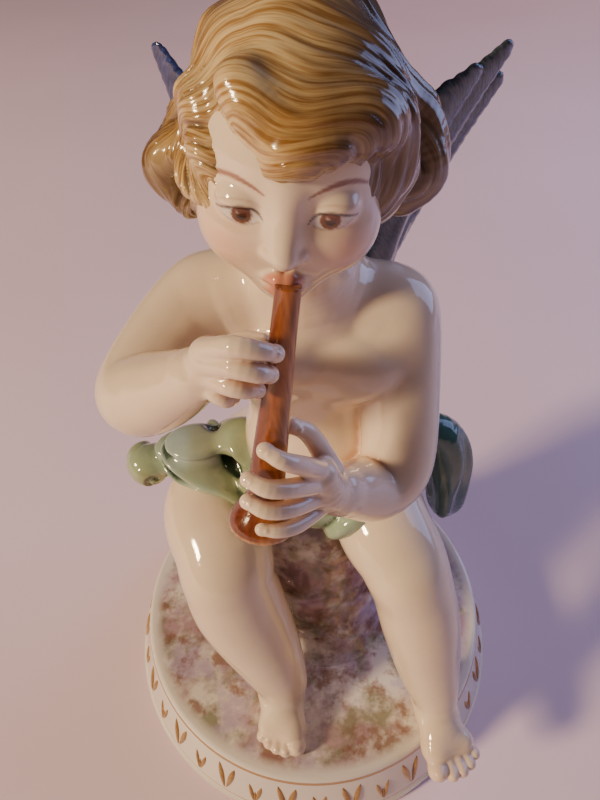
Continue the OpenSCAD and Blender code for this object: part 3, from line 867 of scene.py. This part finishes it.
RUSSET = np.array([0.33, 0.11, 0.028])
PIPE_LIT_SIDE = np.array([0.55, 0.25, 0.07])
PIPE_SHADED_SIDE = np.array([0.13, 0.03, 0.012])
WOOD_FIGURE = np.array([0.15, 0.04, 0.015])
BELL_RIM = np.array([0.66, 0.40, 0.18])
PIPE_CREASE_SHADE = np.array([0.15, 0.03, 0.01])


def pipe_paint(p, hollow):
    side, front, down = in_pipe(p)
    colours = np.tile(RUSSET, (p.shape[1], 1))
    # Painted light on one side of the pipe and painted shade on the other.
    colours = tint(colours, PIPE_LIT_SIDE, smooth(0.4, -1.4, side) * 0.6)
    colours = tint(colours, PIPE_SHADED_SIDE, smooth(0.0, 1.5, side) * 0.85)
    colours = tint(colours, WOOD_FIGURE, 0.6 * smooth(0.1, 0.8, noise(p, 5, 15)))
    rim = smooth(PIPE_LENGTH - 0.7, PIPE_LENGTH - 0.25, down) * smooth(3.0, 3.4, np.hypot(side, front))
    colours = tint(colours, BELL_RIM, 0.7 * rim)
    # Painted shade in the hollows.
    return tint(colours, PIPE_CREASE_SHADE, 0.5 * smooth(0.1, 0.7, hollow))


ROCK_DABS = (
    # size in millimetres, seed, colour, share
    (6.5, 9, (0.60, 0.32, 0.22), 0.7),
    (5.0, 10, (0.42, 0.44, 0.24), 0.6),
    (7.0, 11, (0.62, 0.48, 0.60), 0.5),
)
ROCK_CREVICE_SHADE = np.array([0.4, 0.3, 0.22])


def rock_paint(p, hollow):
    colours = np.ones((p.shape[1], 3))
    up = smooth(1, 9, p[2])
    for size, seed, paint, share in ROCK_DABS:
        dabs = noise(p, size, seed) + 0.45 * noise(p, size / 3, seed + 20)
        dabs = dabs + 0.25 * noise(p, size / 8, seed + 40)
        colours = tint(colours, np.array(paint), share * up * smooth(0.05, 0.55, dabs))
    # Painted shade in the crevices of the upper rock.
    return tint(colours, ROCK_CREVICE_SHADE, 0.6 * up * smooth(0.3, 0.9, hollow))


# ---- materials

class Shader:
    """Builds one glazed material, node by node."""

    def __init__(self, name):
        self.material = bpy.data.materials.new(name)
        self.material.use_nodes = True
        self.tree = self.material.node_tree
        self.tree.nodes.clear()
        self.glaze = self.node("ShaderNodeBsdfPrincipled")
        self.link(self.glaze.outputs[0], self.node("ShaderNodeOutputMaterial").inputs[0])
        self.place = self.node("ShaderNodeTexCoord").outputs["Object"]

    def node(self, kind, **settings):
        made = self.tree.nodes.new(kind)
        for key, value in settings.items():
            if hasattr(made, key):
                setattr(made, key, value)
            else:
                made.inputs[key].default_value = value
        return made

    def link(self, a, b):
        self.tree.links.new(a, b)

    def attribute(self, name):
        return self.node("ShaderNodeAttribute", attribute_name=name)

    def noise(self, scale, detail=4.0, vector=None, roughness=0.55):
        made = self.node("ShaderNodeTexNoise", Scale=scale, Detail=detail, Roughness=roughness)
        self.link(vector or self.place, made.inputs["Vector"])
        return made.outputs["Fac"]

    def ramp(self, value, stops):
        made = self.node("ShaderNodeValToRGB")
        elements = made.color_ramp.elements
        while len(elements) < len(stops):
            elements.new(0.5)
        for element, (spot_at, colour) in zip(elements, stops):
            element.position = spot_at
            element.color = (*colour, 1)
        self.link(value, made.inputs[0])
        return made.outputs[0]

    def mix(self, a, b, share, mode="MIX"):
        made = self.node("ShaderNodeMix", data_type="RGBA", blend_type=mode)
        for socket, value in ((made.inputs[6], a), (made.inputs[7], b), (made.inputs[0], share)):
            if isinstance(value, bpy.types.NodeSocket):
                self.link(value, socket)
            elif isinstance(value, (int, float)):
                socket.default_value = value
            else:
                socket.default_value = (*value, 1)
        return made.outputs[2]

    def math(self, operation, a, b=0.0):
        made = self.node("ShaderNodeMath", operation=operation)
        for socket, value in zip(made.inputs, (a, b)):
            if isinstance(value, bpy.types.NodeSocket):
                self.link(value, socket)
            else:
                socket.default_value = value
        return made.outputs[0]

    def coat(self, roughness=0.12, coat=0.6, subsurface=0.12):
        g = self.glaze.inputs
        g["Roughness"].default_value = roughness
        g["IOR"].default_value = 1.5
        g["Coat Weight"].default_value = coat
        g["Coat Roughness"].default_value = 0.035
        g["Subsurface Weight"].default_value = subsurface
        g["Subsurface Radius"].default_value = (1.0, 0.6, 0.4)
        g["Subsurface Scale"].default_value = 0.0012

    def bump(self, height, distance):
        made = self.node("ShaderNodeBump", Distance=distance, Strength=1.0)
        self.link(height, made.inputs["Height"])
        self.link(made.outputs[0], self.glaze.inputs["Normal"])

    def colour(self, value):
        self.link(value, self.glaze.inputs["Base Color"])


def painted_glaze(name, mottle=0.10, roughness=0.12, waviness=0.00003):
    """Vertex-painted colour under a clear glaze that pools a little unevenly."""
    s = Shader(name)
    uneven = s.ramp(s.noise(260, 5), [(0.3, (1 - mottle,) * 3), (0.7, (1, 1, 1))])
    s.colour(s.mix(s.attribute("paint").outputs["Color"], uneven, 1.0, "MULTIPLY"))
    s.coat(roughness)
    s.bump(s.noise(330, 2), waviness)
    return s.material


def stroked_glaze(name, dark, across_scale, along_scale, share, depth):
    """Brush strokes that follow the flow attribute, over painted colour."""
    s = Shader(name)
    flow = s.node("ShaderNodeMapping", vector_type="POINT")
    flow.inputs["Scale"].default_value = (across_scale, along_scale, 1)
    s.link(s.attribute("flow").outputs["Vector"], flow.inputs["Vector"])
    strokes = s.noise(1.0, 3, flow.outputs[0], 0.6)
    paint = s.attribute("paint").outputs["Color"]
    mask = s.ramp(strokes, [(0.40, (0, 0, 0)), (0.60, (share,) * 3)])
    s.colour(s.mix(paint, s.mix(paint, dark, 1.0, "MULTIPLY"), mask))
    s.coat(0.16, 0.5, 0.05)
    s.bump(strokes, depth)
    return s.material


MARBLING = (
    # noise scale, ramp from, ramp to, colour, shift of the pattern
    (95, 0.46, 0.60, (0.36, 0.19, 0.25), 11.0),
    (120, 0.49, 0.62, (0.19, 0.19, 0.10), 23.0),
    (80, 0.50, 0.62, (0.46, 0.35, 0.52), 37.0),
    (150, 0.52, 0.62, (0.24, 0.11, 0.07), 51.0),
)


def marbled(s, ground):
    """Sponged patches of mauve, olive, lilac and brown over a ground colour."""
    for scale, low, high, paint, shift in MARBLING:
        moved = s.node("ShaderNodeMapping")
        moved.inputs["Location"].default_value = (shift, shift * 0.7, 0)
        s.link(s.place, moved.inputs["Vector"])
        patches = s.noise(scale, 6, moved.outputs[0], 0.62)
        ground = s.mix(ground, paint, s.ramp(patches, [(low, (0, 0, 0)), (high, (0.8, 0.8, 0.8))]))
    return ground


def white_ground(s):
    return s.ramp(s.noise(45, 3), [(0.3, (0.74, 0.68, 0.61)), (0.7, (0.80, 0.75, 0.68))])


def rock_glaze():
    """The plinth's marbling carried up the rock, darkened by the painted dabs and by painted shade in its
    crevices.
    """
    s = Shader("rock_glaze")
    s.colour(s.mix(marbled(s, white_ground(s)), s.attribute("paint").outputs["Color"], 1.0, "MULTIPLY"))
    s.coat(0.15, 0.6, 0.06)
    s.bump(s.noise(300, 3), 0.00008)
    return s.material


MARBLED_RADIUS = 38.5
GOLD = (0.40, 0.22, 0.06)
GOLD_LINES = ((PLINTH_TOP - 1.3, 0.5), (3.4, 0.12))


def plinth_glaze():
    """White glaze with painted marbling on the top face and gold lines on the wall."""
    s = Shader("plinth_glaze")
    colour = white_ground(s)
    top = marbled(s, colour)
    split = s.node("ShaderNodeSeparateXYZ")
    s.link(s.place, split.inputs[0])
    x, y, z = split.outputs
    radius = s.math("SQRT", s.math("ADD", s.math("POWER", x, 2), s.math("POWER", y, 2)))
    within = s.math("MULTIPLY", s.math("SUBTRACT", MARBLED_RADIUS * MM, radius), 500)
    fade = s.math("MINIMUM", s.math("MAXIMUM", within, 0), 1)
    high_up = s.math("GREATER_THAN", z, (PLINTH_TOP - 0.6) * MM)
    colour = s.mix(colour, top, s.math("MULTIPLY", fade, high_up))
    for height, half in GOLD_LINES:
        off = s.math("ABSOLUTE", s.math("SUBTRACT", z, height * MM))
        colour = s.mix(colour, GOLD, s.math("LESS_THAN", off, half * MM))
    s.colour(colour)
    s.coat(0.12, 0.6, 0.08)
    s.bump(s.noise(240, 2), 0.00004)
    return s.material


def gilding():
    s = Shader("gilding")
    s.colour(s.ramp(s.noise(700, 4), [(0.3, (0.30, 0.155, 0.035)), (0.7, (0.50, 0.30, 0.09))]))
    s.coat(0.3, 0.3, 0.0)
    s.glaze.inputs["Metallic"].default_value = 0.45
    s.bump(s.noise(900, 2), 0.00002)
    return s.material


def set_flow(piece, values):
    layer = piece.data.attributes.new("flow", "FLOAT_VECTOR", "POINT")
    layer.data.foreach_set("vector", np.ascontiguousarray(values, np.float32).ravel())


def points_of(piece):
    co = np.zeros(len(piece.data.vertices) * 3)
    piece.data.vertices.foreach_get("co", co)
    return co.reshape(-1, 3).T / MM - np.array([[0], [0], [PLINTH_TOP]])


# ---- assembly

def bounds_of(joints, margin):
    j = np.array(joints, float)
    return j[:, :3].min(0) - j[:, 3].max() - margin, j[:, :3].max(0) + j[:, 3].max() + margin


FLESH = painted_glaze("flesh_glaze", 0.05, 0.10)
EXTENT = {
    "torso": ((-19, -12, 28), (19, 27, 101)),
    "head": ((-16, -21, 82), (14, 15, 131)),
    "right_arm": bounds_of(RIGHT_ARM, 2),
    "left_arm": bounds_of(LEFT_ARM, 2),
    "right_leg": bounds_of(RIGHT_LEG, 2),
    "left_leg": bounds_of(LEFT_LEG, 2),
    "right_hand": bounds_of(RIGHT_PALM + sum(RIGHT_FINGERS, []), 1),
    "left_hand": bounds_of(LEFT_PALM + sum(LEFT_FINGERS, []), 1),
    "right_foot": bounds_of(sum(RIGHT_FOOT + RIGHT_TOES, []), 1),
    "left_foot": bounds_of(sum(LEFT_FOOT + LEFT_TOES, []), 1),
}
CELLS = {"torso": 0.5, "head": 0.2, "arm": 0.4, "leg": 0.45, "hand": 0.2, "foot": 0.24}
PAINT = {"head": head_paint, "right_foot": foot_paint, "left_foot": foot_paint}


def make_skin():
    for name in SKIN:
        paint = PAINT.get(name, flesh_paint)
        cell = CELLS[name.split("_")[-1]]
        sculpt(f"{name}_casting", casting(name), *EXTENT[name], cell, FLESH, paint, [name], "flesh_glaze")


HAIR_CELL = 0.22
HAIR_EXTENT = {
    "hair_cap": ((-21, -19, 98), (19, 18, 133)),
    "right_side_curl": ((-22, -9, 98), (-6, 11, 122)),
    "left_side_curl": ((4, -9, 96), (21, 13, 123)),
    "nape_curl": ((-20, -4, 96), (18, 21, 119)),
}


def make_hair():
    glaze = stroked_glaze("hair_glaze", (0.46, 0.32, 0.16), 30.0, 1.6, 0.95, 0.00006)
    for name, (low, high) in HAIR_EXTENT.items():
        piece = sculpt(f"{name}_casting", hair_casting(name), low, high, HAIR_CELL, glaze, hair_paint,
                       [name], "hair_glaze")
        across, along = strand_flow(in_head(points_of(piece)))
        set_flow(piece, np.stack([across, along, 0 * along], 1))


def make_wings():
    glaze = stroked_glaze("wing_glaze", (0.35, 0.36, 0.42), 2.6, 0.35, 0.9, 0.00005)
    wings = (
        ("right_wing", RIGHT_FEATHERS, RIGHT_WING_ROOT, RIGHT_BLADE, wing_paint(COBALT, 0.85),
         (-26, 9, 68), (0, 36, 120)),
        ("left_wing", LEFT_FEATHERS, LEFT_WING_ROOT, LEFT_BLADE, wing_paint(STEEL * 0.8, 0.4),
         (4, 9, 68), (32, 34, 120)),
    )
    for name, feathers, root, blade, paint, low, high in wings:
        form = wing_form(feathers, root, blade)
        piece = sculpt(f"{name}_casting", form, low, high, 0.28, glaze, paint, [name], "wing_glaze")
        p = points_of(piece)
        along = feather_flow(p, np.array(feathers[1]))
        across = p[1] + 0.6 * along
        set_flow(piece, np.stack([across, along, p[0]], 1))


def make_drapery():
    glaze = painted_glaze("drape_glaze", 0.16, 0.12, 0.00004)
    cloths = (
        ("lap_drape", lap_form, (-34, -20, 34), (31, 22, 62), 0.4),
        ("drape_roll", roll_form, (-38, -4, 40), (-14, 14, 56), 0.3),
        ("drape_tail", tail_form, (15, 1, 18), (37, 16, 60), 0.35),
    )
    for name, form, low, high, cell in cloths:
        sculpt(f"{name}_casting", form, low, high, cell, glaze, drape_paint, [name], "drape_glaze")


def make_pipe():
    s = Shader("pipe_glaze")
    grain = s.node("ShaderNodeMapping")
    grain.inputs["Scale"].default_value = (1300, 1300, 90)
    s.link(s.place, grain.inputs["Vector"])
    stops = [(0.35, (0.66, 0.54, 0.46)), (0.62, (1.05, 1.0, 0.96))]
    streaks = s.ramp(s.noise(1.0, 3, grain.outputs[0]), stops)
    s.colour(s.mix(s.attribute("paint").outputs["Color"], streaks, 1.0, "MULTIPLY"))
    s.coat(0.16, 0.5, 0.02)
    s.bump(streaks, 0.00004)
    low = np.minimum(PIPE_LIPS, PIPE_BELL) - 6
    high = np.maximum(PIPE_LIPS, PIPE_BELL) + 6
    sculpt("pipe_casting", pipe_form, low, high, 0.18, s.material, pipe_paint, ["pipe"], "pipe_glaze")


def make_rock():
    sculpt("rock_seat_casting", rock_form, (-25, -22, -1), (27, 32, 38), 0.5, rock_glaze(), rock_paint,
           ["rock_seat"], "rock_glaze")


def make_plinth():
    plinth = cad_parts["plinth"]
    plinth.data.materials.clear()
    plinth.data.materials.append(plinth_glaze())


LEAF_PAIRS = 38
LEAF_FOOT = 4.2
LEAF_HEIGHT = 8.8
LEAF_ROWS = 12
LEAF_SECTION = ((-1, -0.1), (-0.6, 0.6), (0, 1), (0.6, 0.6), (1, -0.1), (0, -0.3))
WALL_FOOT = (2.5, 43.5)
WALL_HEAD = (15.3, 40.0)


def wall_radius(z):
    """Radius of the plinth's sloping wall at a height."""
    share = (z - WALL_FOOT[0]) / (WALL_HEAD[0] - WALL_FOOT[0])
    return WALL_FOOT[1] + share * (WALL_HEAD[1] - WALL_FOOT[1])


def leaf_ring(centre, t, side, scale):
    """One ring of points round a leaf, from its foot at t = 0 to its tip at t = 1."""
    half = scale * (0.05 + 0.72 * math.sin(math.pi * t ** 1.25) ** 0.8)
    rise = scale * 0.5 * math.sin(math.pi * min(t, 0.999)) ** 0.5
    sweep = side * scale * (0.1 + 1.75 * t ** 0.85)
    z = LEAF_FOOT + LEAF_HEIGHT * scale * t
    ring = []
    for across, lift in LEAF_SECTION:
        r = wall_radius(z) + (rise * lift if lift > 0 else lift)
        angle = centre + (sweep + across * half) / r
        ring.append((r * math.sin(angle) * MM, -r * math.cos(angle) * MM, z * MM))
    return ring


def add_leaf(points, faces, centre, side, scale):
    start, sides = len(points), len(LEAF_SECTION)
    for row in range(LEAF_ROWS + 1):
        points += leaf_ring(centre, row / LEAF_ROWS, side, scale)
    for row in range(LEAF_ROWS):
        for k in range(sides):
            a, b = start + row * sides + k, start + row * sides + (k + 1) % sides
            faces.append((a, b, b + sides, a + sides))
    end = start + LEAF_ROWS * sides
    faces += [tuple(start + k for k in reversed(range(sides))), tuple(end + k for k in range(sides))]


def make_leaves():
    """The raised border: forked pairs of leaves, large and small in turn."""
    points, faces = [], []
    for i in range(LEAF_PAIRS):
        centre = 2 * math.pi * i / LEAF_PAIRS
        pair = 1.0 if i % 2 else 0.72
        for side in (-1, 1):
            add_leaf(points, faces, centre, side, pair)
        if pair < 1:
            add_leaf(points, faces, centre, 0, 0.45)
    piece = mesh_object("border_leaves_relief", np.array(points), faces, gilding())
    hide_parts("border_leaves")


# ---- stage

LIGHTS = (
    # name, place, target, size, watts, colour, mirrored in the glaze
    ("key", (-0.94, -0.42, 0.56), (0, 0, 0.08), (0.16, 0.16), 17.5, (1.0, 0.74, 0.45), True),
    ("backdrop", (0.62, 0.62, 0.55), (0.20, 0.05, 0), (0.7, 0.7), 2.6, (1.0, 0.74, 0.86), False),
    ("window", (0.42, 0.16, 0.26), (0, 0, 0.08), (0.30, 0.4), 0.9, (0.42, 0.52, 1.0), True),
)
FLOOR_HALF = 1.5
SKY = (0.29, 0.25, 0.33, 1)
SKY_STRENGTH = 0.22


def area_light(name, place, target, size, watts, colour, mirrored_in_glaze):
    light = bpy.data.lights.new(name, "AREA")
    light.shape = "RECTANGLE"
    light.size, light.size_y = size
    light.energy = watts
    light.color = colour
    lamp = bpy.data.objects.new(name, light)
    lamp.location = place
    lamp.visible_glossy = mirrored_in_glaze
    lamp.rotation_euler = (Vector(target) - Vector(place)).to_track_quat("-Z", "Y").to_euler()
    bpy.context.scene.collection.objects.link(lamp)


def make_stage():
    mesh = bpy.data.meshes.new("floor")
    corners = [(x * FLOOR_HALF, y * FLOOR_HALF, 0) for x, y in ((-1, -1), (1, -1), (1, 1), (-1, 1))]
    mesh.from_pydata(corners, [], [(0, 1, 2, 3)])
    floor = bpy.data.objects.new("floor", mesh)
    floor.location = (0, 0, -0.0002)
    bpy.context.scene.collection.objects.link(floor)
    s = Shader("floor")
    s.colour(s.ramp(s.noise(9, 2), [(0.3, (0.83, 0.65, 0.75)), (0.7, (0.87, 0.69, 0.79))]))
    s.glaze.inputs["Roughness"].default_value = 0.7
    mesh.materials.append(s.material)

    world = bpy.data.worlds.new("studio")
    world.use_nodes = True
    sky = world.node_tree.nodes["Background"]
    sky.inputs["Color"].default_value = SKY
    sky.inputs["Strength"].default_value = SKY_STRENGTH
    bpy.context.scene.world = world
    for light in LIGHTS:
        area_light(*light)


CAMERA_PLACE = (-0.0016, -0.0676, 0.1585)
CAMERA_PITCH = 46.6
CAMERA_ROLL = -1.7


def make_camera():
    camera = bpy.data.cameras.new("camera")
    camera.sensor_width = 36
    camera.lens = 27.18
    camera.clip_start = 0.005
    eye = bpy.data.objects.new("camera", camera)
    pitch, roll = math.radians(CAMERA_PITCH), math.radians(CAMERA_ROLL)
    forward = Vector((0, math.cos(pitch), -math.sin(pitch)))
    right = Vector((1, 0, 0))
    up = right.cross(forward)
    across = math.cos(roll) * right + math.sin(roll) * up
    upward = math.cos(roll) * up - math.sin(roll) * right
    turn = Matrix((across, upward, -forward)).transposed().to_4x4()
    eye.matrix_world = Matrix.Translation(CAMERA_PLACE) @ turn
    bpy.context.scene.collection.objects.link(eye)
    bpy.context.scene.camera = eye


make_camera()
make_stage()
make_plinth()
make_leaves()
make_rock()
make_skin()
make_hair()
make_wings()
make_drapery()
make_pipe()
